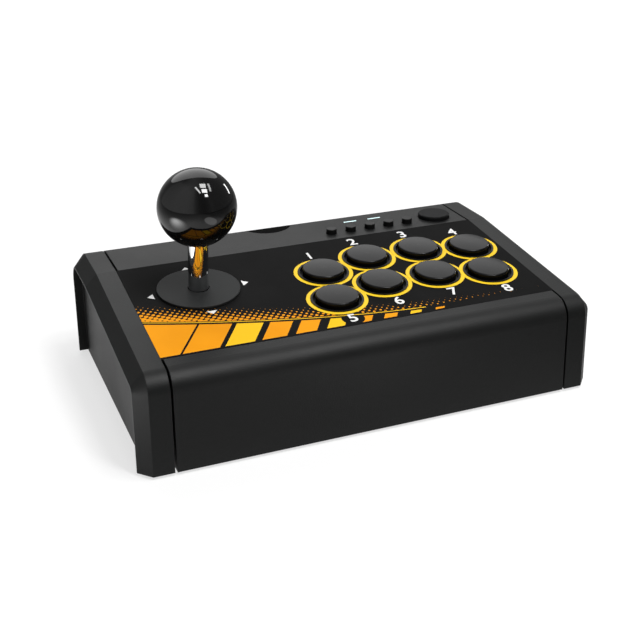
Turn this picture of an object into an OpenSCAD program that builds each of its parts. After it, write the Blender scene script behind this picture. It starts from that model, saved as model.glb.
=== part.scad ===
// Compact arcade fight stick: a low case with a sloped deck, bevelled end caps,
// a gimballed ball-top stick, eight push buttons and a rear strip of small buttons.
// X runs left to right, Y front to rear, Z up. The origin is under the middle, at the feet.

/* [Case] */
// Overall width across the rims of the two end caps
case_w = 213.6; // [210:0.2:222]
// Depth from the front face to the rear face
case_d = 137.4; // [136:0.2:145]
// Height of the level rear strip above the case's underside
case_h = 53; // [51:0.5:56]
// Height of the printed panel's front edge above the case's underside
panel_front_h = 44.5; // [43:0.5:46.5]
// Distance of the printed panel's front edge behind the front face
panel_front_y = 13.5; // [12:0.5:15]
// Depth of the level strip behind the printed panel
strip_d = 41.2; // [40:0.2:42]
// Wall thickness of the mouldings
wall = 2.5; // [2.2:0.1:2.8]
// Radius of the rounded front edge
front_r = 9; // [8:0.5:11]
// Radius of the rounded rear edge
rear_r = 15; // [12:0.5:17]
// Gap between the top shell and each end cap
seam = 1; // [0.5:0.1:1.5]
// Thickness of the printed panel
panel_t = 0.5; // [0.3:0.1:0.8]

/* [End caps] */
// Width of a cap's flat top, from the seam to the bevel
cap_flat = 9; // [8:0.2:11]
// Sideways width of the bevel
bevel_w = 5.3; // [4.8:0.1:6]
// How far the bevel brings the outline in
bevel_in = 5.9; // [5:0.1:6.5]
// Depth of the finger recess behind the rim
recess = 4.1; // [3.6:0.1:4.6]
// Width of the lip round the finger recess
lip = 0.8; // [0.6:0.1:1.2]

/* [Push buttons] */
// Distance between neighbouring push buttons
button_pitch = 27; // [26.6:0.1:27.6]
// Distance of the first push button from the top shell's right end
button_in = 93.5; // [91.5:0.5:95.5]
// Distance of the first button behind the panel's middle, along the slope
button_up = 9.2; // [7.4:0.2:10.4]
// Radius of a plunger
plunger_r = 9.8; // [9.5:0.1:10]
// Height of a plunger's top above the panel
plunger_proud = 3.2; // [2.8:0.1:3.5]
// Travel of a plunger
plunger_travel = 2.5; // [2:0.1:2.6]
// Rounding of a plunger's top edge
plunger_edge = 0.8; // [0.6:0.1:1.3]
// Height of a plunger's crown
plunger_crown = 0.4; // [0.2:0.1:0.6]
// Outer radius of a button housing's rim
rim_r = 12.1; // [12:0.1:12.5]
// Height of the rim above the panel
rim_proud = 0.5; // [0.3:0.1:0.8]
// Width of the groove between plunger and rim
groove_w = 1.3; // [1:0.1:1.4]

/* [Stick] */
// Gap between the stick's mount and the top shell's left end wall
mount_end_gap = 0.3; // [0.2:0.1:3]
// Distance of the stick from the panel's rear edge, along the slope
stick_rear = 30.2; // [29:0.2:33]
// Radius of the ball top
ball_r = 17.5; // [16:0.1:19]
// Height of the ball's centre above the panel
ball_h = 40.7; // [38:0.1:46]
// Radius of the shaft above its pivot
shaft_r = 4.6; // [4.2:0.05:4.7]
// Depth of the pivot below the panel
pivot_depth = 13.5; // [13.3:0.1:14]
// Tilt of the stick each way, in degrees
tilt = 8; // [5:0.5:8]
// Radius of the dust washer
washer_r = 18.7; // [17:0.1:20]
// Thickness of the dust washer
washer_t = 1; // [0.8:0.1:1.2]
// Radius of the hole that the shaft passes in the deck
deck_hole_r = 8.5; // [8.2:0.1:9]

/* [Rear strip] */
// Distance of the first small button from the top shell's right end
menu_in = 72.7; // [71.9:0.2:73.5]
// Distance between the small buttons
menu_pitch = 10.55; // [10.3:0.05:10.7]
// Distance of the small buttons behind the strip's front edge
menu_y = 8.8; // [8.2:0.2:9.4]
// Radius of a small button
menu_r = 2.65; // [2.3:0.05:2.8]
// Height of a small button above the strip
menu_proud = 2.5; // [1.5:0.1:3]
// Distance of the large button from the top shell's right end
mode_in = 13.45; // [13:0.05:14.5]
// Distance of the large button behind the strip's front edge
mode_y = 11.7; // [11.4:0.1:12.4]
// Radius of the large button
mode_r = 8.2; // [7.6:0.1:8.4]
// Height of the large button above the strip
mode_proud = 2.2; // [1.5:0.1:3]
// Distance of the light bars behind the strip's front edge
light_y = 21.7; // [21:0.1:22.4]
// Length of a light bar
light_l = 7; // [6:0.2:8]
// Width of a light bar
light_w = 1; // [0.8:0.1:1.2]
// Radius of the notch in the rear edge
notch_r = 12.6; // [11.5:0.1:13]
// Place of the notch, to the right of the middle
notch_x = -7.8; // [-10:0.2:-6]
// Distance of the notch's centre in front of the rear face
notch_in = 7.8; // [7:0.1:9]
// Radius of the cable hole
cable_r = 2.4; // [2:0.1:3]

/* [Hidden] */
$fn = 64;
fine_fn = 96;
crown_fn = 1440;
// Overrun of cuts, running gap of a pin or plunger, and gap between fitted pieces
over = 1;
run_gap = 0.08;
fit = 0.1;
loose = 0.3;
// Thickness of a hull's end slice
slice = 0.05;

// The case's planes along X, outwards from the middle
rim_x = case_w / 2;
bevel_x = rim_x - bevel_w;
cap_x = bevel_x - cap_flat;
shell_x = cap_x - seam;
recess_x = rim_x - recess;

// The side view: panel slope, its rear end and the centres of the two rounded edges
panel_rear_y = case_d - strip_d;
slope = atan2(case_h - panel_front_h, panel_rear_y - panel_front_y);
panel_l = norm([panel_rear_y - panel_front_y, case_h - panel_front_h]);
front_h = panel_front_h + (front_r - panel_front_y) * tan(slope);
front_c = [front_r, front_h - front_r / cos(slope)];
rear_c = [case_d - rear_r, case_h - rear_r];

// Screws: shank, head and the holes they go in
screw_r = 1.4;
head_r = 2.6;
head_h = 1.2;
head_slot_w = 0.7;
head_slot_d = 0.6;
screw_bite = 7;
short_bite = 3;
mount_bite = 2.9;
pilot_extra = 0.8;
boss_r = 3.4;
small_boss_r = 2.7;

// Base plate and feet
foot_r = 7;
foot_h = 1.2;
foot_sink = 0.8;
base_t = 2.5;
base_rib_h = 2.5;
base_rib_t = 1.5;
case_boss_in = 8;
case_boss_y = 9;
case_boss_rear = 10.4;
foot_in = 21.5;
foot_y = 16;
middle_boss_shares = [[0, 0], [0.26, 1]];

// Cap fixings, as shares of the case's depth and height
cap_post_shares = [[0.145, 0.26], [0.51, 0.42], [0.86, 0.26]];

// Buttons: the first one's place, columns as shares of the pitch, and the step to the front row
button_x = shell_x - button_in;
button_s = panel_l / 2 + button_up;
column_shares = [[0, 0], [0.953, 0.291], [1.972, 0.296], [2.924, 0.105]];
row_share = [-0.14, -0.973];
columns = len(column_shares);
rows = 2;
rim_ledge = 0.35;
button_hole_r = rim_r - rim_ledge;
barrel_r = button_hole_r - fit;
guide_r = plunger_r + run_gap;
groove_depth = 1.5;
collar_l = 5.5;
lug_w = 4;
lug_h = 1.5;
lug_out = 0.7;
lugs = 4;
lug_turn = 45;
plunger_wall = 1.2;
edge_x = plunger_r - plunger_edge;
crown_r = (edge_x * edge_x + plunger_crown * plunger_crown) / (2 * plunger_crown);
crown_n = plunger_proud - crown_r;
edge_n = crown_n + sqrt(pow(crown_r - plunger_edge, 2) - edge_x * edge_x);
plunger_top_t = 1.6;
flange_t = 1.5;
flange_out = 1;
stem_r = 2.6;
stem_drop = 0.5;
collar_n = -groove_depth - collar_l;
flange_n = collar_n - loose - flange_t;
stem_n = flange_n - stem_drop;

// Dome mat and board under the buttons
dome_r = 5;
dome_top_r = 3;
dome_rest = 1.9;
dome_h = plunger_travel + dome_rest;
dome_wall = 0.8;
mat_t = 0.8;
board_t = 1.6;
mat_n = stem_n - fit - dome_h;
board_n = mat_n - mat_t;
board_edge_share = 0.56;
board_side_share = 0.64;
board_rear_share = 0.85;
board_post_shares = [[-0.575, -0.475], [1.39, -0.19], [3.26, -0.38], [1.31, -1.345], [1.46, 0.7]];

// Rear strip: boards, switches and light bars
menu_x = shell_x - menu_in;
mode_x = shell_x - mode_in;
menu_count = 5;
menu_travel = 0.4;
menu_edge = 0.4;
mode_travel = 0.6;
mode_edge = 0.8;
key_flange = 0.9;
key_flange_t = 1;
key_stem_r = 1.5;
key_stem_l = 3.4;
tact_w = 6;
tact_h = 3.5;
tact_r = 1.7;
tact_top = 0.8;
key_n = -wall - key_flange_t - fit;
tact_n = key_n - key_stem_l - max(menu_travel, mode_travel) - loose - tact_top;
menu_board_n = tact_n - tact_h;
menu_board_front = 4;
menu_board_rear = 26;
menu_board_side = 3.6;
menu_post_shares = [[-0.16, 0.77], [3.81, 0.81], [6.28, 0.87]];
light_shares = [1.48, 2.77];
light_flange = 0.6;
light_led_h = 1.2;
light_led_w = 1.6;

// Main board on the base plate
main_w = 62;
main_d = 44;
main_in = 47.5;
main_x = shell_x - main_in;
main_y = 62;
main_post_h = 3.5;
main_post_in = 4;
chip_w = 10;
chip_h = 1.4;
socket_w = 12;
socket_d = 5;
socket_h = 5.5;
crystal_w = 9;
crystal_d = 3.6;

// Rear insert round the cable
notch_floor_share = 0.45;
insert_flange = 2;
insert_flange_t = 1.6;
cable_h_share = 0.62;

// Stick, from the deck down. n is measured along the shaft, from the panel
stick_s = panel_l - stick_rear;
neck_r = 5.6;
ball_flat_n = ball_h - sqrt(ball_r * ball_r - neck_r * neck_r);
thread_r = 2.9;
thread_l = 11;
thread_gap = 0.05;
washer_gap = 0.3;
washer_play = 0.3;
washer_hole_r = shaft_r + washer_play;
disc_t = 1;
disc_r = 14;
disc_play = 0.4;
mount_gap = disc_t + 2 * disc_play;
mount_t = 1.5;
mount_n = -wall - mount_gap - mount_t;
box_w = 40;
mount_side = 7;
mount_w = box_w + 2 * mount_side;
stick_x = shell_x - wall - mount_end_gap - mount_w / 2;
mount_boss_in = 5;
mount_corner = 4;
box_t = 2;
box_wall = 2.5;
box_floor_t = 2;
pivot_n = -pivot_depth;
box_top_n = mount_n - box_t;
ring_r = 14;
ring_in = 10.5;
ring_h = 6;
pin_r = 1.5;
hub_r = 7.5;
hub_top = 4;
seat_r = 10.3;
seat_drop = 5;
seat_t = 1.5;
lower_shaft_r = 3.5;
lower_fit = 0.02;
spring_l = 7.4;
spring_r = 8.8;
wire_r = 0.6;
spring_turns = 4;
spring_steps = 20;
wire_sides = 6;
floor_n = pivot_n - seat_drop - seat_t - spring_l;
box_bottom_n = floor_n - box_floor_t;
corner_r = 3;
corner_in = 3.5;
stick_board_n = box_bottom_n - board_t;
stick_board_hole_r = 11.5;
actuator_r = 7;
actuator_top_r = 6.2;
actuator_l = 5;
actuator_gap = 1.4;
actuator_n = stick_board_n - actuator_gap - actuator_l;
clip_r = 5.4;
clip_t = 0.8;
clip_groove = 0.6;
clip_mouth = 4.4;
gate_gap = 1.6;
gate_t = 2;
gate_top_n = actuator_n - clip_t - gate_gap;
gate_n = gate_top_n - gate_t;
shaft_tip = 1;
shaft_n = gate_n - shaft_tip;
tip_reach = (pivot_n - gate_n) * tan(tilt) / cos(tilt) + lower_shaft_r / cos(tilt);
gate_half = tip_reach + loose;
switch_reach = (pivot_n - actuator_n) * sin(tilt) + actuator_r * cos(tilt);
switch_w = 12.8;
switch_d = 6.4;
switch_h = 5.6;
nub_w = 2.8;
nub_l = 0.8;
switch_hole_r = 0.8;
switch_r = switch_reach + loose + nub_l;
switch_pin_w = 0.8;
switch_pins = 3;
switch_pin_share = 0.34;

// Where things go

// Runs a side view, drawn as depth and height, along X
module run_x(x0, x1) {
    translate([x0, -case_d / 2, foot_h]) rotate([90, 0, 90]) linear_extrude(x1 - x0) children();
}

// A place on the case's underside: x, depth behind the front face, height
module on_base(x, y, h = 0) {
    translate([x, y - case_d / 2, foot_h + h]) children();
}

// A place on the printed panel: x, way up the slope, height square to the panel
module on_panel(x = 0, s = 0, n = 0) {
    on_base(0, panel_front_y, panel_front_h) rotate([slope, 0, 0]) translate([x, s, n]) children();
}

// Moves its children square to the panel
module raise(n) {
    translate([0, -n * sin(slope), n * cos(slope)]) children();
}

// A place on the rear strip: x, way behind its front edge, height above it
module on_strip(x, y, h = 0) {
    on_base(x, panel_rear_y + y, case_h + h) children();
}

module at_stick(n = 0) {
    on_panel(-stick_x, stick_s, n) children();
}

module at_button(k, n = 0) {
    column = column_shares[k % columns];
    row = floor(k / columns) * row_share;
    on_panel(button_x + button_pitch * (column.x + row.x), button_s + button_pitch * (column.y + row.y), n)
        children();
}

module at_board_posts(n = 0) {
    for (p = board_post_shares)
        on_panel(button_x + button_pitch * p.x, button_s + button_pitch * p.y, n) children();
}

module at_menu_posts(h = 0) {
    for (p = menu_post_shares) on_strip(menu_x + menu_pitch * p.x, menu_board_rear * p.y, h) children();
}

module at_case_bosses(h = 0) {
    rear = case_d - case_boss_rear;
    for (side = [-1, 1], y = [case_boss_y, rear]) on_base(side * (shell_x - case_boss_in), y, h) children();
    for (p = middle_boss_shares) {
        on_base(shell_x * p.x, case_boss_y + p.y * (rear - case_boss_y), h) children();
    }
}

module at_feet(h = 0) {
    for (side = [-1, 1], y = [foot_y, case_d - foot_y]) on_base(side * (shell_x - foot_in), y, h) children();
}

module at_cap_posts(x) {
    for (p = cap_post_shares) on_base(x, case_d * p.x, case_h * p.y) rotate([0, 90, 0]) children();
}

module at_main_posts(h = 0) {
    for (i = [-1, 1], j = [-1, 1]) {
        on_base(main_x + i * (main_w / 2 - main_post_in), main_y + j * (main_d / 2 - main_post_in), h)
            children();
    }
}

module at_mount_bosses(n = 0) {
    for (i = [-1, 1], j = [-1, 1])
        at_stick(n) translate([i * (mount_w / 2 - mount_boss_in), j * (mount_w / 2 - mount_boss_in), 0])
            children();
}

module at_box_corners(n = 0) {
    for (i = [-1, 1], j = [-1, 1])
        at_stick(n) translate([i * (box_w / 2 - corner_in), j * (box_w / 2 - corner_in), 0]) children();
}

// Shapes used more than once

// Side view of the case with every face moved in by d, down to the height floor_h
module side_profile(d = 0, floor_h = 0) {
    polygon([
        [d, floor_h],
        [d, front_c.y],
        front_c + (front_r - d) * [-sin(slope), cos(slope)],
        [panel_rear_y + d * tan(slope / 2), case_h - d],
        [rear_c.x, case_h - d],
        [case_d - d, rear_c.y],
        [case_d - d, floor_h],
    ]);
    translate(front_c) circle(r = front_r - d);
    translate(rear_c) circle(r = rear_r - d);
}

// Half section of a disc whose top edge is rounded
module rounded_disc_section(r, h, edge) {
    square([r - edge, h]);
    square([r, h - edge]);
    translate([r - edge, h - edge]) circle(r = edge);
}

module rounded_disc(r, h, edge) {
    rotate_extrude() intersection() {
        rounded_disc_section(r, h, edge);
        square([r, h]);
    }
}

module tube(r_out, r_in, h) {
    difference() {
        cylinder(r = r_out, h = h);
        translate([0, 0, -over]) cylinder(r = r_in, h = h + 2 * over);
    }
}

// Plate with rounded corners, centred, standing on z = 0
module plate(w, l, t, r) {
    linear_extrude(t) {
        square([w - 2 * r, l], center = true);
        square([w, l - 2 * r], center = true);
        for (i = [-1, 1], j = [-1, 1]) translate([i * (w / 2 - r), j * (l / 2 - r)]) circle(r = r);
    }
}

// Cross-headed screw: its head lies below z = 0 and its shank points up
module screw(shank) {
    difference() {
        translate([0, 0, -head_h]) cylinder(r = head_r, h = head_h);
        for (a = [0, 90]) rotate(a) translate([-head_r / 2, -head_slot_w / 2, -head_h - over])
            cube([head_r, head_slot_w, head_slot_d + over]);
    }
    cylinder(r = screw_r, h = shank);
}

// Boss that hangs by l from a wall whose underside is z = 0, with a blind screw hole from below
module hanging_boss(r, l, depth) {
    translate([0, 0, -l]) difference() {
        cylinder(r = r, h = l + wall / 2);
        translate([0, 0, -over]) cylinder(r = screw_r + fit / 2, h = depth + pilot_extra + over);
    }
}

// Case

module shell_bosses() {
    intersection() {
        at_case_bosses(case_h) hanging_boss(boss_r, case_h - base_t, screw_bite);
        run_x(-shell_x, shell_x) side_profile(wall / 2, -over);
    }
    at_board_posts(-wall) hanging_boss(small_boss_r, -board_n - wall, short_bite);
    at_menu_posts(-wall) hanging_boss(small_boss_r, -menu_board_n - wall, short_bite);
    at_mount_bosses(-wall) hanging_boss(boss_r, mount_gap, mount_gap);
}

module top_shell() {
    color("#3c3e3d") difference() {
        union() {
            difference() {
                run_x(-shell_x, shell_x) side_profile();
                run_x(-shell_x + wall, shell_x - wall) side_profile(wall, -over);
            }
            shell_bosses();
        }
        // Pocket for the printed panel
        on_panel(-shell_x - over, 0, -panel_t) cube([2 * (shell_x + over), panel_l, panel_t + over]);
        for (k = [0:rows * columns - 1])
            at_button(k, -wall - over) cylinder(r = button_hole_r, h = wall + over);
        at_stick(-wall - over) cylinder(r = deck_hole_r, h = wall + over);
        at_mount_bosses(-wall - over)
            cylinder(r = screw_r + fit / 2, h = over + mount_bite - mount_gap + fit);
        for (i = [0:menu_count - 1]) on_strip(menu_x + i * menu_pitch, menu_y, -wall - over)
            cylinder(r = menu_r + fit, h = wall + 2 * over);
        on_strip(mode_x, mode_y, -wall - over) cylinder(r = mode_r + fit, h = wall + 2 * over);
        for (p = light_shares) on_strip(menu_x + menu_pitch * p, light_y, -wall / 2)
            cube([light_l + fit, light_w + fit, wall + 2 * over], center = true);
        on_base(notch_x, case_d - notch_in, case_h * notch_floor_share) cylinder(r = notch_r, h = case_h);
        for (side = [0, 1]) mirror([side, 0, 0]) at_cap_posts(shell_x - wall - over)
            cylinder(r = screw_r + fit, h = wall + 2 * over);
    }
}

// The right cap; the left one is its mirror
module cap_moulding() {
    difference() {
        hull() {
            run_x(cap_x, cap_x + slice) side_profile($fn = fine_fn);
            run_x(bevel_x - slice, bevel_x) side_profile($fn = fine_fn);
            run_x(rim_x - slice, rim_x) side_profile(bevel_in, $fn = fine_fn);
        }
        run_x(cap_x - over, recess_x - wall) side_profile(wall, wall);
        run_x(recess_x, rim_x + over) side_profile(bevel_in + lip, -over);
    }
    at_cap_posts(shell_x) tube(boss_r, screw_r + fit / 2, recess_x - wall - shell_x);
}

module left_end_cap() {
    color("#333534") mirror([1, 0, 0]) cap_moulding();
}

module right_end_cap() {
    color("#333534") cap_moulding();
}

module panel_overlay() {
    color("#232323") difference() {
        on_panel(-cap_x + fit, 0, -panel_t) cube([2 * (cap_x - fit), panel_l, panel_t]);
        for (k = [0:rows * columns - 1]) at_button(k, -over) cylinder(r = button_hole_r, h = 2 * over);
        at_stick(-over) cylinder(r = deck_hole_r, h = 2 * over);
    }
}

module base_plate() {
    w = 2 * (shell_x - wall - loose);
    l = case_d - 2 * (wall + loose);
    color("#2b2c2c") difference() {
        union() {
            on_base(-w / 2, wall + loose) cube([w, l, base_t]);
            on_base(-w / 2, wall + loose, base_t) difference() {
                cube([w, l, base_rib_h]);
                translate([base_rib_t, base_rib_t, -over])
                    cube([w - 2 * base_rib_t, l - 2 * base_rib_t, base_rib_h + 2 * over]);
            }
            at_main_posts(base_t) cylinder(r = small_boss_r, h = main_post_h);
        }
        at_case_bosses(-over) cylinder(r = screw_r + fit, h = base_t + 2 * over);
        at_case_bosses(-over) cylinder(r = head_r + loose, h = head_h + over);
        at_feet(-over) cylinder(r = foot_r + fit, h = foot_sink + over);
        at_main_posts(base_t + main_post_h - short_bite)
            cylinder(r = screw_r + fit / 2, h = short_bite + over);
    }
}

module rubber_feet() {
    color("#1c1c1c") at_feet(-foot_h) cylinder(r = foot_r, h = foot_h + foot_sink);
}

module case_screws() {
    color("silver") at_case_bosses(head_h) screw(base_t - head_h + screw_bite);
}

module cap_screws() {
    color("silver") for (side = [0, 1])
        mirror([side, 0, 0]) at_cap_posts(shell_x - wall) screw(wall + short_bite);
}

// Push buttons

module button_housing() {
    rotate_extrude() {
        // Rim, groove wall and guide collar
        translate([plunger_r + groove_w, 0]) square([rim_r - plunger_r - groove_w, rim_proud]);
        translate([plunger_r + groove_w, collar_n])
            square([barrel_r - plunger_r - groove_w, -collar_n]);
        translate([guide_r, collar_n]) square([barrel_r - guide_r, collar_l]);
    }
    // Lugs that snap under the deck
    for (i = [0:lugs - 1]) rotate(lug_turn + i * 360 / lugs) difference() {
        translate([guide_r + groove_w / 2, -lug_w / 2, -wall - fit - lug_h])
            cube([barrel_r + lug_out - guide_r - groove_w / 2, lug_w, lug_h]);
        translate([0, 0, collar_n]) cylinder(r = barrel_r - (barrel_r - guide_r) / 2, h = -collar_n);
    }
}

module button_housings() {
    color("#4a4c4d") for (k = [0:rows * columns - 1]) at_button(k) button_housing();
}

// Half section of a plunger: a shallow crown that runs into a rounded edge
module plunger_section() {
    out = [edge_x, edge_n - crown_n] / (crown_r - plunger_edge);
    translate([edge_x, edge_n]) circle(r = plunger_edge);
    intersection() {
        translate([0, crown_n]) circle(r = crown_r, $fn = crown_fn);
        polygon([
            [0, flange_n],
            [plunger_r, flange_n],
            [plunger_r, edge_n],
            [edge_x, edge_n],
            [0, crown_n] + (crown_r + over) * out,
            [0, plunger_proud + over],
        ]);
    }
}

module plunger(k) {
    skirt_r = plunger_r - plunger_wall;
    color("#434445") at_button(k) {
        difference() {
            rotate_extrude() plunger_section();
            translate([0, 0, flange_n - over])
                cylinder(r = skirt_r, h = plunger_proud - plunger_top_t - flange_n + over);
        }
        translate([0, 0, flange_n]) tube(plunger_r + flange_out, skirt_r, flange_t);
        translate([0, 0, stem_n]) cylinder(r = stem_r, h = plunger_proud - plunger_top_t - stem_n);
    }
}

// Mat and board outline, from the board's posts and buttons
module board_area(t) {
    low = [
        button_x - button_pitch * board_side_share,
        button_s + button_pitch * (row_share.y - board_edge_share),
    ];
    high = [shell_x - wall - over, button_s + button_pitch * board_rear_share];
    on_panel(low.x, low.y) cube([high.x - low.x, high.y - low.y, t]);
}

module dome_hollow() {
    h = mat_t + over + dome_h - dome_wall;
    cylinder(r1 = dome_r - dome_wall, r2 = dome_top_r - dome_wall, h = h);
}

module dome_mat() {
    color("#d9d9d2") difference() {
        union() {
            raise(mat_n - mat_t) board_area(mat_t);
            for (k = [0:rows * columns - 1]) at_button(k, mat_n - mat_t / 2)
                cylinder(r1 = dome_r, r2 = dome_top_r, h = dome_h + mat_t / 2);
        }
        for (k = [0:rows * columns - 1])
            at_button(k, mat_n - mat_t - over) dome_hollow();
        at_board_posts(mat_n - mat_t - over) cylinder(r = small_boss_r + loose, h = mat_t + 2 * over);
    }
}

module button_board() {
    color("#1f5c38") difference() {
        raise(board_n - board_t) board_area(board_t);
        at_board_posts(board_n - board_t - over) cylinder(r = screw_r + fit, h = board_t + 2 * over);
    }
}

module button_board_screws() {
    color("silver") at_board_posts(board_n - board_t) screw(board_t + short_bite);
}

// Rear strip

module key(r, proud, edge) {
    translate([0, 0, key_n]) rounded_disc(r, proud - key_n, edge);
    translate([0, 0, key_n]) cylinder(r = r + key_flange, h = key_flange_t);
    translate([0, 0, key_n - key_stem_l]) cylinder(r = key_stem_r, h = key_stem_l);
}

module menu_button(i) {
    color("#1f1f1f") on_strip(menu_x + i * menu_pitch, menu_y) key(menu_r, menu_proud, menu_edge);
}

module mode_button() {
    color("#3f3f41") on_strip(mode_x, mode_y) key(mode_r, mode_proud, mode_edge);
}

module tact_switch() {
    translate([-tact_w / 2, -tact_w / 2, -tact_h]) cube([tact_w, tact_w, tact_h]);
    cylinder(r = tact_r, h = tact_top);
}

module menu_switches() {
    color("#26282a") {
        for (i = [0:menu_count - 1]) on_strip(menu_x + i * menu_pitch, menu_y, tact_n) tact_switch();
        on_strip(mode_x, mode_y, tact_n) tact_switch();
    }
}

module menu_board() {
    low_x = menu_x - menu_pitch / 2;
    color("#1f5c38") difference() {
        on_strip(low_x, menu_board_front, menu_board_n - board_t)
            cube([shell_x - menu_board_side - low_x, menu_board_rear - menu_board_front, board_t]);
        at_menu_posts(menu_board_n - board_t - over) cylinder(r = screw_r + fit, h = board_t + 2 * over);
    }
}

module menu_board_screws() {
    color("silver") at_menu_posts(menu_board_n - board_t) screw(board_t + short_bite);
}

module light_bars() {
    drop = -menu_board_n - light_led_h - loose;
    color("#cdeef2") for (p = light_shares) on_strip(menu_x + menu_pitch * p, light_y) {
        translate([-light_l / 2, -light_w / 2, -drop]) cube([light_l, light_w, drop]);
        translate([-light_l / 2 - light_flange, -light_w / 2 - light_flange, -wall - light_flange - fit / 2])
            cube([light_l + 2 * light_flange, light_w + 2 * light_flange, light_flange]);
    }
}

module light_leds() {
    color("#e8e4c0") for (p = light_shares) on_strip(menu_x + menu_pitch * p, light_y, menu_board_n)
        translate([-light_led_w, -light_led_w / 2, 0]) cube([2 * light_led_w, light_led_w, light_led_h]);
}

// Main board and cable insert

module main_board() {
    top = base_t + main_post_h + board_t;
    color("#1f5c38") {
        difference() {
            on_base(main_x, main_y, top - board_t) plate(main_w, main_d, board_t, main_post_in / 2);
            at_main_posts(top - board_t - over) cylinder(r = screw_r + fit, h = board_t + 2 * over);
        }
        on_base(main_x - chip_w / 2, main_y - chip_w / 2, top) cube([chip_w, chip_w, chip_h]);
        for (i = [-1, 0, 1]) on_base(main_x + i * (socket_w + main_post_in) - socket_w / 2,
            main_y + main_d / 2 - socket_d - over, top) cube([socket_w, socket_d, socket_h]);
        on_base(main_x + chip_w, main_y - chip_w, top) cube([crystal_w, crystal_d, crystal_d]);
    }
}

module main_board_screws() {
    top = base_t + main_post_h + board_t;
    color("silver") at_main_posts(top) mirror([0, 0, 1]) screw(board_t + short_bite - fit);
}

module cable_insert() {
    floor_h = case_h * notch_floor_share;
    rear_y = case_d - notch_in;
    half = notch_r + insert_flange;
    color("#161616") difference() {
        union() {
            intersection() {
                run_x(notch_x - half, notch_x + half) side_profile(0, floor_h + fit);
                on_base(notch_x, rear_y, floor_h) cylinder(r = notch_r - fit, h = case_h);
            }
            intersection() {
                run_x(notch_x - half, notch_x + half) difference() {
                    side_profile(wall + fit, floor_h - insert_flange);
                    side_profile(wall + fit + insert_flange_t, floor_h - insert_flange - over);
                }
                on_base(notch_x, rear_y, 0) cylinder(r = half, h = case_h);
            }
        }
        on_base(notch_x, case_d / 2, case_h * cable_h_share) rotate([-90, 0, 0])
            cylinder(r = cable_r, h = case_d);
    }
}

// Stick

module ball_top() {
    color("#151515") at_stick() difference() {
        translate([0, 0, ball_h]) sphere(r = ball_r, $fn = fine_fn);
        translate([0, 0, ball_flat_n - ball_r]) cylinder(r = ball_r, h = ball_r);
        translate([0, 0, ball_flat_n - over])
            cylinder(r = thread_r + thread_gap, h = thread_l + over + loose);
    }
}

module stick_shaft() {
    hub_n = pivot_n + hub_top;
    clip_n = actuator_n - clip_t;
    color("#d8d8d8") at_stick() difference() {
        union() {
            translate([0, 0, hub_n]) cylinder(r = shaft_r, h = ball_flat_n - hub_n);
            translate([0, 0, ball_flat_n]) cylinder(r = thread_r, h = thread_l);
            translate([0, 0, shaft_n]) cylinder(r = lower_shaft_r, h = hub_n - shaft_n);
        }
        translate([0, 0, clip_n]) tube(lower_shaft_r + over, lower_shaft_r - clip_groove, clip_t);
    }
}

module dust_washer() {
    color("#3d3f3f") at_stick(washer_gap) tube(washer_r, washer_hole_r, washer_t);
}

module lower_dust_disc() {
    reach = (pivot_depth - wall) * tan(tilt) + shaft_r + loose;
    color("#2a2b2b") at_stick(-wall - disc_play - disc_t) tube(disc_r, reach + disc_play, disc_t);
}

module mount_plate() {
    color("#a8abad") difference() {
        at_stick(mount_n) plate(mount_w, mount_w, mount_t, mount_corner);
        at_stick(mount_n - over) cylinder(r = deck_hole_r, h = mount_t + 2 * over);
        at_mount_bosses(mount_n - over) cylinder(r = screw_r + fit, h = mount_t + 2 * over);
        at_box_corners(mount_n - over) cylinder(r = screw_r + fit, h = mount_t + 2 * over);
    }
}

module mount_screws() {
    color("silver") at_mount_bosses(mount_n) screw(mount_t + mount_bite);
}

module stick_box() {
    h = box_top_n + box_t - box_bottom_n;
    inner = box_w - 2 * box_wall;
    color("#232425") difference() {
        union() {
            difference() {
                at_stick(box_bottom_n) plate(box_w, box_w, h, corner_r);
                at_stick(floor_n) translate([-inner / 2, -inner / 2, 0])
                    cube([inner, inner, box_top_n - floor_n]);
            }
            at_box_corners(box_bottom_n) cylinder(r = corner_r, h = h);
        }
        at_stick(box_top_n - over) cylinder(r = deck_hole_r, h = box_t + 2 * over);
        at_stick(box_bottom_n - over) cylinder(r = spring_r - 2 * wire_r, h = box_floor_t + 2 * over);
        // Side windows show the gimbal
        at_stick(pivot_n - ring_h / 2) translate([-ring_in / 2, -box_w / 2 - over, 0])
            cube([ring_in, box_w + 2 * over, ring_h]);
        at_stick(pivot_n) translate([-box_w / 2 - over, 0, 0]) rotate([0, 90, 0])
            cylinder(r = pin_r, h = box_w + 2 * over);
        at_box_corners(box_bottom_n - over) cylinder(r = screw_r + fit / 2, h = screw_bite + over);
        at_box_corners(mount_n - short_bite - pilot_extra)
            cylinder(r = screw_r + fit / 2, h = short_bite + pilot_extra + over);
    }
}

module box_screws() {
    color("silver") at_box_corners(mount_n + mount_t) mirror([0, 0, 1]) screw(mount_t + short_bite);
}

// Two pins on one line through the pivot, from r_in to r_out
module pin_pair(r_in, r_out) {
    for (side = [0, 1]) mirror([side, 0, 0]) translate([r_in, 0, 0]) rotate([0, 90, 0])
        cylinder(r = pin_r, h = r_out - r_in);
}

module outer_pivot_pins() {
    color("silver") at_stick(pivot_n) pin_pair(ring_in + loose, box_w / 2);
}

module inner_pivot_pins() {
    color("silver") at_stick(pivot_n) rotate(90) pin_pair(lower_shaft_r + 2 * loose, ring_r - loose);
}

module gimbal_ring() {
    color("#c9c4b4") at_stick(pivot_n) difference() {
        translate([0, 0, -ring_h / 2]) tube(ring_r, ring_in, ring_h);
        translate([-ring_r, 0, 0]) rotate([0, 90, 0]) cylinder(r = pin_r + run_gap, h = 2 * ring_r);
        rotate([90, 0, 0]) cylinder(r = pin_r, h = 2 * ring_r, center = true);
    }
}

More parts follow.
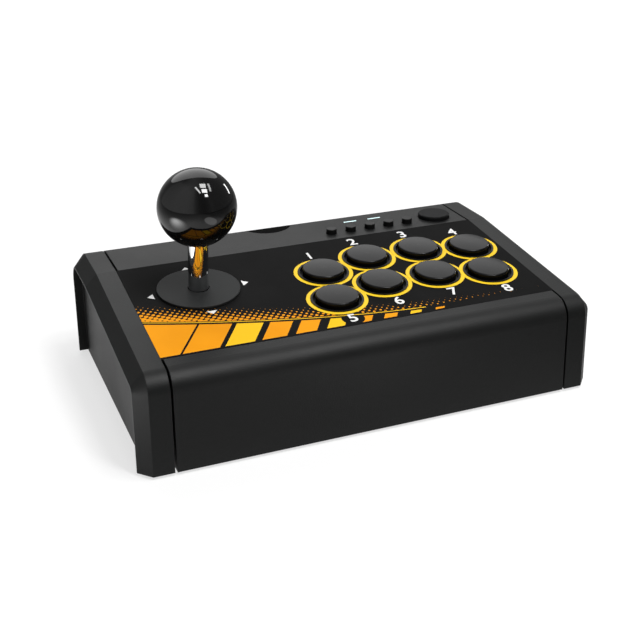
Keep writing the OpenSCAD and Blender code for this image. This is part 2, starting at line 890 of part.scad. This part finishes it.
module pivot_hub() {
    color("#e4e1d6") at_stick(pivot_n) difference() {
        union() {
            translate([0, 0, -seat_drop - seat_t]) cylinder(r = hub_r, h = seat_drop + seat_t + hub_top);
            translate([0, 0, -seat_drop - seat_t]) cylinder(r = seat_r, h = seat_t);
        }
        translate([0, 0, -seat_drop - seat_t - over])
            cylinder(r = lower_shaft_r + lower_fit, h = seat_drop + seat_t + hub_top + 2 * over);
        rotate([90, 0, 0]) cylinder(r = pin_r + run_gap, h = 2 * ring_r, center = true);
    }
}

// A tube swept along a helix of n steps, with its two ends closed
module helix_tube(r, wire, rise, turns) {
    sides = wire_sides;
    steps = spring_steps * turns;
    points = [
        for (i = [0:steps], j = [0:sides - 1])
            let (a = 360 * turns * i / steps, b = 360 * j / sides, q = r + wire * cos(b))
            [q * cos(a), q * sin(a), rise * i / steps + wire * sin(b)]
    ];
    walls = [
        for (i = [0:steps - 1], j = [0:sides - 1])
            let (p = i * sides + j, q = i * sides + (j + 1) % sides)
            each [[p, q + sides, q], [p, p + sides, q + sides]]
    ];
    first_end = [for (j = [0:sides - 1]) j];
    last_end = [for (j = [sides - 1:-1:0]) steps * sides + j];
    polyhedron(points, concat(walls, [first_end, last_end]));
}

module centring_spring() {
    color("#b9bcc0") at_stick(floor_n + wire_r + fit / 2)
        helix_tube(spring_r, wire_r, spring_l - 2 * wire_r - fit, spring_turns);
}

module actuator() {
    color("#e4e1d6") at_stick(actuator_n) difference() {
        cylinder(r1 = actuator_r, r2 = actuator_top_r, h = actuator_l);
        translate([0, 0, -over]) cylinder(r = lower_shaft_r + lower_fit, h = actuator_l + 2 * over);
    }
}

module shaft_clip() {
    color("silver") at_stick(actuator_n - clip_t) linear_extrude(clip_t) difference() {
        circle(r = clip_r);
        circle(r = lower_shaft_r - clip_groove + lower_fit);
        translate([0, -clip_mouth / 2]) square([clip_r + over, clip_mouth]);
    }
}

module micro_switch() {
    difference() {
        translate([switch_r, -switch_w / 2, -switch_h]) cube([switch_d, switch_w, switch_h]);
        for (side = [-1, 1])
            translate([switch_r + switch_d / 2, side * switch_w * switch_pin_share, -switch_h - over])
                cylinder(r = switch_hole_r, h = switch_h + over - switch_pin_w);
    }
    translate([switch_r - nub_l, -nub_w / 2, -switch_h / 2 - nub_w / 4]) cube([nub_l, nub_w, nub_w / 2]);
    pin_x = switch_r + switch_d - switch_pin_w;
    for (i = [0:switch_pins - 1])
        translate([pin_x, (i - 1) * switch_w * switch_pin_share - switch_pin_w / 2, 0])
            cube([switch_pin_w, switch_pin_w, loose]);
}

module micro_switches() {
    color("#1d2a3a") for (a = [0, 90, 180, 270]) at_stick(stick_board_n - loose) rotate(a) micro_switch();
}

module stick_board() {
    color("#1f5c38") difference() {
        at_stick(stick_board_n) plate(box_w, box_w, board_t, corner_r);
        at_stick(stick_board_n - over) cylinder(r = stick_board_hole_r, h = board_t + 2 * over);
        at_box_corners(stick_board_n - over) cylinder(r = screw_r + fit, h = board_t + 2 * over);
    }
}

module restrictor_gate() {
    color("#2a2b2c") difference() {
        union() {
            at_stick(gate_n) plate(box_w, box_w, gate_t, corner_r);
            at_box_corners(gate_n) cylinder(r = corner_r, h = stick_board_n - gate_n);
        }
        at_stick(gate_n - over) translate([-gate_half, -gate_half, 0])
            cube([2 * gate_half, 2 * gate_half, gate_t + 2 * over]);
        at_box_corners(gate_n - over) cylinder(r = screw_r + fit, h = stick_board_n - gate_n + 2 * over);
    }
}

module gate_screws() {
    color("silver") at_box_corners(gate_n) screw(box_bottom_n - gate_n + screw_bite - over);
}

top_shell();
left_end_cap();
right_end_cap();
panel_overlay();
base_plate();
rubber_feet();
case_screws();
cap_screws();
button_housings();
plunger(0);  // plunger_1
plunger(1);  // plunger_2
plunger(2);  // plunger_3
plunger(3);  // plunger_4
plunger(4);  // plunger_5
plunger(5);  // plunger_6
plunger(6);  // plunger_7
plunger(7);  // plunger_8
dome_mat();
button_board();
button_board_screws();
menu_button(0);  // menu_button_1
menu_button(1);  // menu_button_2
menu_button(2);  // menu_button_3
menu_button(3);  // menu_button_4
menu_button(4);  // menu_button_5
mode_button();
menu_switches();
menu_board();
menu_board_screws();
light_bars();
light_leds();
main_board();
main_board_screws();
cable_insert();
ball_top();
stick_shaft();
dust_washer();
lower_dust_disc();
mount_plate();
mount_screws();
stick_box();
box_screws();
outer_pivot_pins();
gimbal_ring();
inner_pivot_pins();
pivot_hub();
centring_spring();
actuator();
shaft_clip();
micro_switches();
stick_board();
restrictor_gate();
gate_screws();
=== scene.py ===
import math

import bmesh
import bpy
from mathutils import Matrix, Vector


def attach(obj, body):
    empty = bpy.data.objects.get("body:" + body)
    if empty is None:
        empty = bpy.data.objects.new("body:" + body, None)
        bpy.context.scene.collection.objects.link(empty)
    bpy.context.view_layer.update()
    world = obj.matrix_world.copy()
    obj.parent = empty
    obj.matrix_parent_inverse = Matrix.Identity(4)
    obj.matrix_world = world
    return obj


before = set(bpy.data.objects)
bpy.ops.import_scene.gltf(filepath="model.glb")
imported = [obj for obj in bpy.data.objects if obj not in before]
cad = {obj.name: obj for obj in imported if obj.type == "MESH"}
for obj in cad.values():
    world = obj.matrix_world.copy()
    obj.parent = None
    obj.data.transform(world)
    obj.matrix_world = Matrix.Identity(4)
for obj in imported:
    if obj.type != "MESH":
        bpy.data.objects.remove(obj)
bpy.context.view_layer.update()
scene = bpy.context.scene

# Camera. A long lens a little above the case, from the front left.
# The small shift only frames the stick as the photograph does.
lens = bpy.data.cameras.new("camera")
lens.lens, lens.sensor_width = 64.22, 36
lens.shift_x, lens.shift_y = -0.0562, -0.1516
lens.clip_start, lens.clip_end = 0.02, 60
camera = bpy.data.objects.new("camera", lens)
camera.location = (-0.1850, -0.4682, 0.2483)
camera.rotation_euler = [math.radians(a) for a in (70.87, 0, -23.3)]
scene.collection.objects.link(camera)
scene.camera = camera
scene.view_settings.view_transform = "Standard"


# Studio. A white floor, a panelled window over the camera, a wide window behind
# the case, and a dim tent that only glossy surfaces see.
class Value:
    """A socket's value. A sum or a comparison of values adds its Math nodes."""

    def __init__(self, finish, socket):
        self.finish, self.socket = finish, socket

    def math(self, operation, *others):
        inputs = {i + 1: other for i, other in enumerate(others)}
        return self.finish.add("Math", {"operation": operation}, {0: self, **inputs})

    def clamp(self):
        """The value, held between 0 and 1."""
        return self.math("MAXIMUM", 0).math("MINIMUM", 1)

    def __add__(self, other):
        return self.math("ADD", other)

    def __sub__(self, other):
        return self.math("SUBTRACT", other)

    def __rsub__(self, other):
        return self.math("MULTIPLY_ADD", -1, other)

    def __mul__(self, other):
        return self.math("MULTIPLY", other)

    def __truediv__(self, other):
        return self.math("DIVIDE", other)

    def __rtruediv__(self, other):
        return self.math("POWER", -1) * other

    def __pow__(self, other):
        return self.math("POWER", other)

    def __gt__(self, other):
        return self.math("GREATER_THAN", other)

    def __lt__(self, other):
        return self.math("LESS_THAN", other)

    __radd__, __rmul__ = __add__, __mul__


class Finish:
    """A material or world under way. add() makes any node and gives its first output."""

    def __init__(self, owner):
        self.owner = owner
        owner.use_nodes = True
        self.tree = owner.node_tree

    def add(self, kind, settings=None, values=None, output=None):
        node = self.tree.nodes.new("ShaderNode" + kind)
        for name, setting in (settings or {}).items():
            if name == "stops":
                for stop, (position, colour) in zip(node.color_ramp.elements, setting):
                    stop.position, stop.color = position, (*colour, 1)
            else:
                setattr(node, name, setting)
        for name, value in (values or {}).items():
            if isinstance(name, int):
                socket = node.inputs[name]
            else:
                socket = next(s for s in node.inputs if s.name == name and s.enabled)
            if isinstance(value, Value):
                self.tree.links.new(value.socket, socket)
            else:
                socket.default_value = value
        shown = [s for s in node.outputs if s.enabled]
        return Value(self, node.outputs[output] if output else shown[0])

    def feed(self, shader, **values):
        """Links values to a shader's sockets, whose names have _ for a space."""
        for name, value in values.items():
            self.tree.links.new(value.socket, shader.inputs[name.replace("_", " ")])

    def glow(self, strength):
        """White light of its own."""
        return self.add("Emission", values={"Color": white, "Strength": strength})

    def place(self):
        """The X and Y of a point, as two values."""
        where = self.add("TexCoord", output="Object")
        return [self.add("SeparateXYZ", values={"Vector": where}, output=k) for k in "XY"]

    def ray(self, kind):
        """1 for the rays of this kind, and 0 for others."""
        return self.add("LightPath", output=f"Is {kind} Ray")


def seen_rays(finish):
    """1 for the rays that show a surround: the camera's, glossy and clear ones."""
    camera_ray, glossy_ray, clear_ray = (finish.ray(k) for k in ("Camera", "Glossy", "Transmission"))
    return camera_ray.math("MAXIMUM", glossy_ray).math("MAXIMUM", clear_ray)


def floor_level(finish):
    """How bright glossy surfaces find the floor: 1 by the case, less in front and far off."""
    x, y = finish.place()
    in_front = ((-0.06 - y) / 0.03).clamp() * ((x + 0.16) / 0.1).clamp()
    beside = ((x - 0.1) / 0.06).clamp()
    off = (x + 0.05) * (x + 0.05) + y * y
    dimmest, half_way = 0.3, 0.26
    near = (1 - dimmest) / (off * off / half_way ** 4 + 1)
    return (1 - in_front * 0.28) * (1 - beside * 0.5) * (near + dimmest)


def stand(name, mesh, finish, gloss_only=False):
    """Puts a studio surface, which isn't part of the object, in the scene."""
    data = bpy.data.meshes.new(name)
    mesh.to_mesh(data)
    data.materials.append(finish.owner)
    surface = bpy.data.objects.new(name, data)
    scene.collection.objects.link(surface)
    if gloss_only:
        surface.visible_camera = surface.visible_diffuse = False
        surface.visible_shadow = surface.visible_transmission = False


white = (1, 1, 1, 1)
room_light = 0.12
surround = Finish(bpy.data.worlds.new("surround"))
scene.world = surround.owner
background = surround.tree.nodes["Background"]
background.inputs["Color"].default_value = white
surround.feed(background, Strength=seen_rays(surround) * (1 - room_light) + room_light)

# About half of the floor's white is its own. The camera finds it a little
# brighter, which softens the shadows, and far off, where the lamps fade, more so.
floor_half, floor_drop = 12, 0.0001
table = bmesh.new()
bmesh.ops.create_grid(table, x_segments=1, y_segments=1, size=floor_half)
bmesh.ops.translate(table, vec=(0, 0, -floor_drop), verts=table.verts)
paper = Finish(bpy.data.materials.new("white_paper"))
x, y = paper.place()
far = ((x * x + y * y) / 4).math("MINIMUM", 1)
camera_ray = paper.ray("Camera")
level = 1 - (1 - floor_level(paper)) * paper.ray("Glossy")
matt = paper.add("BsdfDiffuse", values={"Color": (level - camera_ray * 0.3) * 0.5})
glow = paper.glow(seen_rays(paper) * level * 0.5 + camera_ray * (far * 0.45 + 0.17))
bright_matt = paper.add("AddShader", values={0: matt, 1: glow})
paper.feed(paper.tree.nodes["Material Output"], Surface=bright_matt)
stand("floor", table, paper)

# The tent is darkest in front, at the right and behind at the left, and pale at the left.
tent_wide, tent_lift = 4, 0.05
tent = bmesh.new()
bmesh.ops.create_cube(tent, size=tent_wide)
bmesh.ops.delete(tent, geom=[f for f in tent.faces if f.normal.z < -0.5], context="FACES")
bmesh.ops.translate(tent, vec=(0, 0, tent_wide / 2 + tent_lift), verts=tent.verts)
cloth = Finish(bpy.data.materials.new("tent_cloth"))
x, y = cloth.place()
pale = (0.36 - x * 0.14).math("MAXIMUM", 0.16)
ahead = (1 - x * x / 1.2).math("MAXIMUM", 0) * (y / -2).math("MAXIMUM", 0) ** 4
behind = (1 - (x + 1.3) * (x + 1.3) / 1.5).math("MAXIMUM", 0) * (y / 2 + 0.15).clamp()
glow = cloth.glow(pale * (1 - ahead * 0.75) * (1 - behind * 0.72))
cloth.feed(cloth.tree.nodes["Material Output"], Surface=glow)
stand("tent", tent, cloth, gloss_only=True)

# A pool of lamplight at the left and a round reflector in front lie on the floor.
# Each has its centre, radii in x and y, brightness, and how softly it fades.
floor_bright, card_lift = 1.05, 0.0005
for name, centre, radii, bright, soft in (
    ("light_pool", (-0.28, -0.055), (0.16, 0.11), 7, 2.5),
    ("reflector", (0.02, -0.26), (0.065, 0.14), 1.3, 0.05),
):
    round_card = bmesh.new()
    bmesh.ops.create_circle(round_card, cap_ends=True, segments=64, radius=1)
    bmesh.ops.scale(round_card, vec=(*radii, 1), verts=round_card.verts)
    bmesh.ops.translate(round_card, vec=(*centre, card_lift), verts=round_card.verts)
    card = Finish(bpy.data.materials.new(name))
    x, y = ((p - c) / r for p, c, r in zip(card.place(), centre, radii))
    fade = (1 - (x * x + y * y)).math("MAXIMUM", 0) ** soft
    glow = card.glow(fade * bright + floor_level(card) * floor_bright)
    card.feed(card.tree.nodes["Material Output"], Surface=glow)
    stand(name, round_card, card, gloss_only=True)

# The windows stand round a point over the case. Each has its azimuth, elevation
# and roll in degrees, its size in radians, and its radiance.
aim, reach = Vector((-0.062, 0, 0.1)), 1.4
for name, azimuth, elevation, roll, (wide, high), radiance in (
    ("pane_top", 129, 72.5, 51, (0.247, 0.233), 15),
    ("pane_middle", 151, 59, 27, (0.241, 0.187), 25),
    ("pane_low", 155.5, 45.5, 12, (0.142, 0.125), 28),
    ("slat_left", -175.5, 67, -24, (0.065, 0.402), 16),
    ("slat_right", 114.5, 57.3, 53, (0.088, 0.406), 9),
    ("window_side", 66, 14, 40, (0.09, 0.28), 14),
    ("window_rear", 11, 41, 0, (1.35, 1.05), 1.45),
):
    heading, rise = math.radians(azimuth), math.radians(elevation)
    outwards, upwards = reach * math.cos(rise), reach * math.sin(rise)
    way = Vector((math.sin(heading) * outwards, math.cos(heading) * outwards, upwards))
    pane = bpy.data.lights.new(name, "AREA")
    rounded = name == "window_rear"
    pane.shape = "ELLIPSE" if rounded else "RECTANGLE"
    pane.size, pane.size_y = wide * reach, high * reach
    area = pane.size * pane.size_y * (math.pi / 4 if rounded else 1)
    pane.energy = radiance * math.pi * area
    lamp = bpy.data.objects.new(name, pane)
    lamp.visible_camera = False
    facing = way.to_track_quat("Z", "Y").to_matrix().to_4x4()
    rolled = Matrix.Rotation(math.radians(-roll), 4, "Z")
    lamp.matrix_world = Matrix.Translation(aim + way) @ facing @ rolled
    scene.collection.objects.link(lamp)


# Case. The top shell is one injection moulding in black ABS with a fine spark
# texture. The two end caps are screwed to its ends and bevelled all round.
def plastic(name, colour, rough, shine, grain=0.00035, relief=0.00003, cloud=0.12, edge=0.0004):
    """Moulded plastic: fine grain, soft variation, and edges that handling has eased and polished. The edges
    are also painted lighter, partly as wear and partly as a painted highlight.

    grain, relief and edge are in metres. A piece whose solid is rounded already has edge=0.
    """
    made = Finish(bpy.data.materials.new(name))
    shader = made.tree.nodes["Principled BSDF"]
    shader.inputs["Specular IOR Level"].default_value = shine
    where = made.add("TexCoord", output="Object")
    fine = made.add("TexNoise", values={"Vector": where, "Scale": 1 / grain, "Detail": 3})
    broad = made.add("TexNoise", values={"Vector": where, "Scale": 28, "Detail": 4})
    dark, light = ([c * k for c in colour] for k in (1 - cloud, 1 + cloud))
    mottled = made.add("ValToRGB", {"stops": [(0.3, dark), (0.7, light)]}, {0: broad * 0.75 + fine * 0.25})
    face = made.add("NewGeometry", output="Normal")
    eased = made.add("Bevel", {"samples": 8}, {"Radius": edge}) if edge else face
    turned = made.add("VectorMath", {"operation": "DOT_PRODUCT"}, {0: eased, 1: face})
    # Edges get a lighter colour that is partly wear and partly a painted highlight.
    edge_wear_and_highlight = ((1 - turned) * (broad + 0.5) * 3).math("MINIMUM", 1)
    wear_and_highlight_colour = (*[c * 1.5 + 0.006 for c in colour], 1)
    toned = made.add("Mix", {"data_type": "RGBA"}, {"Factor": edge_wear_and_highlight, "A": mottled, "B": wear_and_highlight_colour})
    bumpy = made.add("Bump", values={"Strength": 0.6, "Distance": relief, "Height": fine, "Normal": eased})
    made.feed(shader, Base_Color=toned, Roughness=broad * 0.16 - edge_wear_and_highlight * 0.12 + (rough - 0.08), Normal=bumpy)
    return made


def dress(node, finish):
    """Puts a finish on a CAD node."""
    piece = cad[node]
    piece.data.materials.clear()
    piece.data.materials.append(finish.owner)


shell_black = plastic("shell_black", (0.0055, 0.0058, 0.0057), rough=0.48, shine=0.23,
                      grain=0.0006, relief=0.0001)
dress("top_shell", shell_black)
cap_black = plastic("cap_black", (0.005, 0.0055, 0.0053), rough=0.48, shine=0.22,
                    grain=0.0006, relief=0.0001)
for node in ("left_end_cap", "right_end_cap"):
    dress(node, cap_black)

# Base. A flat moulded plate closes the case from below and stands on four
# rubber pads. Six screws hold it from below.
base_black = plastic("base_black", (0.011, 0.0115, 0.0115), rough=0.55, shine=0.15)
dress("base_plate", base_black)
foot_rubber = plastic("foot_rubber", (0.010, 0.010, 0.010), rough=0.75, shine=0.2,
                      grain=0.0006, relief=0.00006)
dress("rubber_feet", foot_rubber)


# Screws, pins and clip. All are zinc-plated steel, with cross recesses in the
# heads of the screws. They hold the case, the boards and the stick mechanism.
def metal(name, colour, rough):
    """Bare or plated metal with fine turning marks and slight tarnish."""
    made = Finish(bpy.data.materials.new(name))
    shader = made.tree.nodes["Principled BSDF"]
    shader.inputs["Metallic"].default_value = 1
    where = made.add("TexCoord", output="Object")
    mark = 0.0008
    marks = made.add("TexNoise", values={"Vector": where, "Scale": 1 / mark, "Detail": 2})
    stain = made.add("TexNoise", values={"Vector": where, "Scale": 120, "Detail": 4})
    dark = [c * 0.8 for c in colour]
    toned = made.add("ValToRGB", {"stops": [(0.3, dark), (0.7, colour)]}, {0: stain})
    ridges = made.add("Bump", values={"Strength": 0.2, "Distance": 0.00002, "Height": marks})
    made.feed(shader, Base_Color=toned, Roughness=stain * 0.12 + (rough - 0.06), Normal=ridges)
    return made


zinc_steel = metal("zinc_steel", (0.55, 0.55, 0.53), rough=0.32)
for node in ("case_screws", "cap_screws", "button_board_screws", "menu_board_screws", "main_board_screws",
             "mount_screws", "box_screws", "gate_screws", "outer_pivot_pins", "inner_pivot_pins",
             "shaft_clip"):
    dress(node, zinc_steel)

# Panel print. A satin polyester film lies in its own pocket in the deck. Its
# black ground carries slanted orange bars that break up into dots.
slope = math.radians(5.868319)
half_deep, foot_high = 0.0687, 0.0012
deck_start, deck_low = 0.0135, 0.0445
panel_front = Vector((0, deck_start - half_deep, foot_high + deck_low))

# Millimetres on the panel: the middles of the eight buttons, and of the numbers
# beyond them.
pitch, first_x, first_s = 27, -2, 50.768
columns = ((0, 0), (0.953, 0.291), (1.972, 0.296), (2.924, 0.105))
rows = ((0, 0), (-0.14, -0.973))
buttons = [(first_x + pitch * (c[0] + r[0]), first_s + pitch * (c[1] + r[1])) for r in rows for c in columns]
sign_off = 18.3
signs = [(x, s + (sign_off if k < 4 else -sign_off)) for k, (x, s) in enumerate(buttons)]

film = Finish(bpy.data.materials.new("printed_film"))
film_shader = film.tree.nodes["Principled BSDF"]
film_shader.inputs["Specular IOR Level"].default_value = 0.012
where = film.add("TexCoord", output="Object")
on_panel = film.add("Mapping", {"vector_type": "TEXTURE"}, {
    "Vector": where, "Location": panel_front, "Rotation": (slope, 0, 0), "Scale": (0.001, 0.001, 0.001)})
across, up = (film.add("SeparateXYZ", values={"Vector": on_panel}, output=k) for k in "XY")

# The print runs 132 mm from the film's left edge, under a crest that sinks from 30
# to 3. Its bars lean, and the gaps between them widen to the right.
half_film, print_long = 92.5, 132
crest_low, crest_rise, crest_bend = 3, 27, 1.7
run = (across + half_film) / print_long
crest = (1 - run).math("MAXIMUM", 0) ** crest_bend * crest_rise + crest_low
lean, bar_shift, bar_count, bar_bend, bar_low = 0.62, 108, 9, 1.25, 1.6
slant = (across - up * lean + bar_shift) / print_long
count = slant ** bar_bend * bar_count
gap = slant * 0.62 - 0.05
bars = (up < crest) * (up > bar_low) * (run < 1) * (count.math("FRACT") > gap)
every_third = ((count.math("FLOOR") + 1) / 3).math("FRACT") < 0.1
line_off, line_half, line_end = 1.7, 0.28, 0.92
crest_line = ((up - crest - line_off).math("ABSOLUTE") < line_half) * (run < line_end)

# Above the crest line the orange goes on in dots, which shrink upwards and to the
# right, and stay clear of the two numbers among them.
dot_pitch, dot_turn = 2.3, math.radians(38)
dot_place = film.add("Mapping", {"vector_type": "POINT"}, {
    "Vector": on_panel, "Rotation": (0, 0, dot_turn), "Scale": (1 / dot_pitch, 1 / dot_pitch, 1)})
dot_x, dot_y = (
    film.add("SeparateXYZ", values={"Vector": dot_place}, output=k).math("FRACT") - 0.5 for k in "XY")
from_dot = (dot_x * dot_x + dot_y * dot_y).math("SQRT")
dots_low, dots_start = 2.4, 2.6
dot_size = 0.62 - (up - crest - dots_low) / 26 - run * 0.42
ink = bars.math("MAXIMUM", (from_dot < dot_size) * (up > crest + dots_start))
clear_round_sign = 5.2
for x, s in signs[4:6]:
    off_x, off_s = across - x, up - s
    ink = ink * ((off_x * off_x + off_s * off_s) > clear_round_sign ** 2)

cloud = film.add("TexNoise", values={"Vector": where, "Scale": 45, "Detail": 3})
peel = film.add("TexNoise", values={"Vector": where, "Scale": 2400, "Detail": 2})
black, orange = (film.add("ValToRGB", {"stops": [(0.3, low), (0.7, high)]}, {0: cloud}) for low, high in (
    ((0.0075, 0.0075, 0.0075), (0.0105, 0.0105, 0.0105)), ((0.80, 0.300, 0.010), (0.87, 0.335, 0.012))))
yellow = (0.90, 0.53, 0.02, 1)
bar_ink = film.add("Mix", {"data_type": "RGBA"}, {"Factor": every_third * bars, "A": orange, "B": yellow})
inked = film.add("Mix", {"data_type": "RGBA"}, {"Factor": ink, "A": black, "B": bar_ink})
printed = film.add("Mix", {"data_type": "RGBA"}, {"Factor": crest_line, "A": inked, "B": yellow})
pebbled = film.add("Bump", values={"Strength": 0.25, "Distance": 0.00001, "Height": peel})
film.feed(film_shader, Base_Color=printed, Roughness=cloud * 0.1 + 0.5, Normal=pebbled)
dress("panel_overlay", film)


# Rings, arrows and numbers. Each is screen-printed ink, a few hundredths of a
# millimetre thick, on the film: yellow round the buttons, white elsewhere.
def on_deck(x, s, n=0.0):
    """The turn and place of a point of the panel: x and s along it, n above it, in mm."""
    at_point = Matrix.Translation(Vector((x, s, n)) / 1000)
    return Matrix.Translation(panel_front) @ Matrix.Rotation(slope, 4, "X") @ at_point


def print_on(name, mesh, finish, smooth=None):
    """Makes a printed piece of a bmesh: faces outwards, shading, finish and body."""
    bmesh.ops.remove_doubles(mesh, verts=mesh.verts, dist=1e-7)
    bmesh.ops.recalc_face_normals(mesh, faces=mesh.faces)
    data = bpy.data.meshes.new(name)
    mesh.to_mesh(data)
    mesh.free()
    if smooth is not None:
        data.shade_smooth()
        data.set_sharp_from_angle(angle=math.radians(smooth))
    data.materials.append(finish.owner)
    piece = bpy.data.objects.new(name, data)
    scene.collection.objects.link(piece)
    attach(piece, "root")


# The rings are in millimetres too. Neighbours run into each other, so along a row
# each lies a hair higher than the one before.
ink_low, ink_thick, ink_step = 0.02, 0.02, 0.004
ring_in, ring_out = 11.6, 14.0
one_ring = bmesh.new()
corners = [one_ring.verts.new((r / 1000, 0, n / 1000)) for r, n in (
    (ring_in, 0), (ring_out, 0), (ring_out, ink_thick), (ring_in, ink_thick))]
sides = [one_ring.edges.new(pair) for pair in zip(corners, corners[1:] + corners[:1])]
bmesh.ops.spin(one_ring, geom=corners + sides, cent=(0, 0, 0), axis=(0, 0, 1),
               angle=math.tau, steps=96, use_merge=True)
rings = bmesh.new()
for k, (x, s) in enumerate(buttons):
    laid = bpy.data.meshes.new("ring")
    one_ring.to_mesh(laid)
    laid.transform(on_deck(x, s, ink_low + ink_step * (k % 4)))
    rings.from_mesh(laid)
ring_yellow = plastic("ring_yellow", (0.90, 0.59, 0.02), rough=0.45, shine=0.1,
                      grain=0.0004, relief=0.000004, cloud=0.05)
print_on("button_rings", rings, ring_yellow, smooth=30)

stick_x, stick_s = -61.7, 52.94
arrow_off, arrow_radius, arrow_wide, arrow_short = 0.0215, 0.0026, 1.1, 0.75
arrows = bmesh.new()
for quarter in range(4):
    arrow = bmesh.ops.create_circle(arrows, cap_ends=True, segments=3, radius=arrow_radius)["verts"]
    bmesh.ops.transform(arrows, matrix=Matrix.Diagonal((arrow_wide, arrow_short, 1, 1)), verts=arrow)
    raised = bmesh.ops.extrude_face_region(arrows, geom=[f for f in arrows.faces if f.verts[0] in arrow])
    top = [g for g in raised["geom"] if isinstance(g, bmesh.types.BMVert)]
    bmesh.ops.translate(arrows, vec=(0, 0, ink_thick / 1000), verts=top)
    pointing = Matrix.Rotation(math.radians(90 * quarter), 4, "Z") @ Matrix.Translation((0, arrow_off, 0))
    bmesh.ops.transform(arrows, matrix=on_deck(stick_x, stick_s, ink_low) @ pointing, verts=arrow + top)
ink_white = plastic("ink_white", (0.84, 0.84, 0.83), rough=0.45, shine=0.15,
                    grain=0.0004, relief=0.000004, cloud=0.03)
print_on("stick_arrows", arrows, ink_white)

sign_tall, sign_bold, sign_half, sign_middle = 0.0092, 0.00015, 0.00001, ink_low + 0.03
numbers = bmesh.new()
for k, (x, s) in enumerate(signs):
    sign = bpy.data.curves.new("number", "FONT")
    sign.body, sign.size, sign.extrude, sign.offset = str(k + 1), sign_tall, sign_half, sign_bold
    sign.align_x, sign.align_y = "CENTER", "CENTER"
    written = bpy.data.objects.new("number", sign)
    flat = bpy.data.meshes.new_from_object(written)
    flat.transform(on_deck(x, s, sign_middle))
    numbers.from_mesh(flat)
    bpy.data.objects.remove(written)
print_on("button_numbers", numbers, ink_white)

# Push buttons. Each housing snaps into the deck with a low rim, a groove and a
# collar that guides the plunger, a satin cap pressed against a silicone dome.
housing_black = plastic("housing_black", (0.004, 0.0042, 0.0043), rough=0.38, shine=0.12,
                        grain=0.0003, relief=0.00001, edge=0.0002)
dress("button_housings", housing_black)
plunger_black = plastic("plunger_black", (0.004, 0.004, 0.0042), rough=0.2, shine=0.15,
                        grain=0.0003, relief=0.000003, cloud=0.06, edge=0)
for k in range(8):
    dress(f"plunger_{k + 1}", plunger_black)
silicone_mat = plastic("silicone_mat", (0.55, 0.55, 0.5), rough=0.5, shine=0.4, grain=0.001, relief=0.00002)
dress("dome_mat", silicone_mat)

# Boards. Four sheets of glass-fibre board, under green solder mask that shows
# the copper tracks faintly, screwed to the case or below the stick's box.
board_green = Finish(bpy.data.materials.new("board_green"))
board_shader = board_green.tree.nodes["Principled BSDF"]
board_shader.inputs["Specular IOR Level"].default_value = 0.5
where = board_green.add("TexCoord", output="Object")
tracks = board_green.add("TexBrick", {"offset": 0.37}, {
    "Vector": where, "Scale": 160, "Mortar Size": 0.06, "Color1": (0.008, 0.10, 0.03, 1),
    "Color2": (0.010, 0.115, 0.036, 1), "Mortar": (0.03, 0.19, 0.06, 1), "Brick Width": 0.9})
weave = board_green.add("TexNoise", values={"Vector": where, "Scale": 900})
woven = board_green.add("Bump", values={"Strength": 0.3, "Distance": 0.00003, "Height": weave})
board_green.feed(board_shader, Base_Color=tracks, Roughness=weave * 0.15 + 0.28, Normal=woven)
for node in ("button_board", "menu_board", "main_board", "stick_board"):
    dress(node, board_green)

# Rear strip. Five small keys and one large key pass through the shell to tact
# switches. Two clear bars carry the light of two LEDs.
key_black = plastic("key_black", (0.006, 0.006, 0.006), rough=0.34, shine=0.15,
                    grain=0.0003, relief=0.00001, edge=0.0003)
for k in range(5):
    dress(f"menu_button_{k + 1}", key_black)
large_key_black = plastic("large_key_black", (0.008, 0.008, 0.0083), rough=0.45, shine=0.05,
                          grain=0.0003, relief=0.00001)
dress("mode_button", large_key_black)
switch_black = plastic("switch_black", (0.018, 0.02, 0.024), rough=0.4, shine=0.4)
for node in ("menu_switches", "micro_switches"):
    dress(node, switch_black)
light_bar = plastic("light_bar", (0.72, 0.9, 0.9), rough=0.35, shine=0.4,
                    grain=0.0006, relief=0.00001, cloud=0.04, edge=0.0002)
bar_shader = light_bar.tree.nodes["Principled BSDF"]
bar_shader.inputs["Emission Color"].default_value = (0.62, 0.95, 1, 1)
bar_shader.inputs["Emission Strength"].default_value = 0.5
dress("light_bars", light_bar)
led_lens = plastic("led_lens", (0.8, 0.75, 0.5), rough=0.3, shine=0.5, grain=0.0004, relief=0.00001)
dress("light_leds", led_lens)

# Cable insert. A black plug fills the notch in the rear edge and holds the hole
# that the lead passes. It is moulded in a duller plastic than the shell.
insert_black = plastic("insert_black", (0.002, 0.002, 0.002), rough=0.6, shine=0.01)
dress("cable_insert", insert_black)

# Stick. A polished ball screws on a chromed shaft, above a dust washer that
# slides on the deck. A second disc slides below the deck.
ball_gloss = plastic("ball_gloss", (0.003, 0.003, 0.0031), rough=0.04, shine=0.5,
                     grain=0.004, relief=0.000002, cloud=0.2, edge=0)
dress("ball_top", ball_gloss)
dress("stick_shaft", metal("shaft_chrome", (0.82, 0.82, 0.83), rough=0.05))
washer_black = plastic("washer_black", (0.020, 0.021, 0.021), rough=0.55, shine=0.1)
for node in ("dust_washer", "lower_dust_disc"):
    dress(node, washer_black)

# Stick mechanism. The shaft turns in two steel pin pairs through a gimbal ring,
# in a moulded box on a steel plate, above four micro switches and a gate.
dress("mount_plate", metal("plate_steel", (0.5, 0.51, 0.52), rough=0.4))
box_black = plastic("box_black", (0.016, 0.017, 0.018), rough=0.45, shine=0.35)
for node in ("stick_box", "restrictor_gate"):
    dress(node, box_black)
nylon = plastic("nylon", (0.62, 0.6, 0.52), rough=0.42, shine=0.4, grain=0.0006, relief=0.00002, cloud=0.05)
for node in ("gimbal_ring", "pivot_hub", "actuator"):
    dress(node, nylon)
dress("centring_spring", metal("spring_wire", (0.5, 0.5, 0.52), rough=0.25))
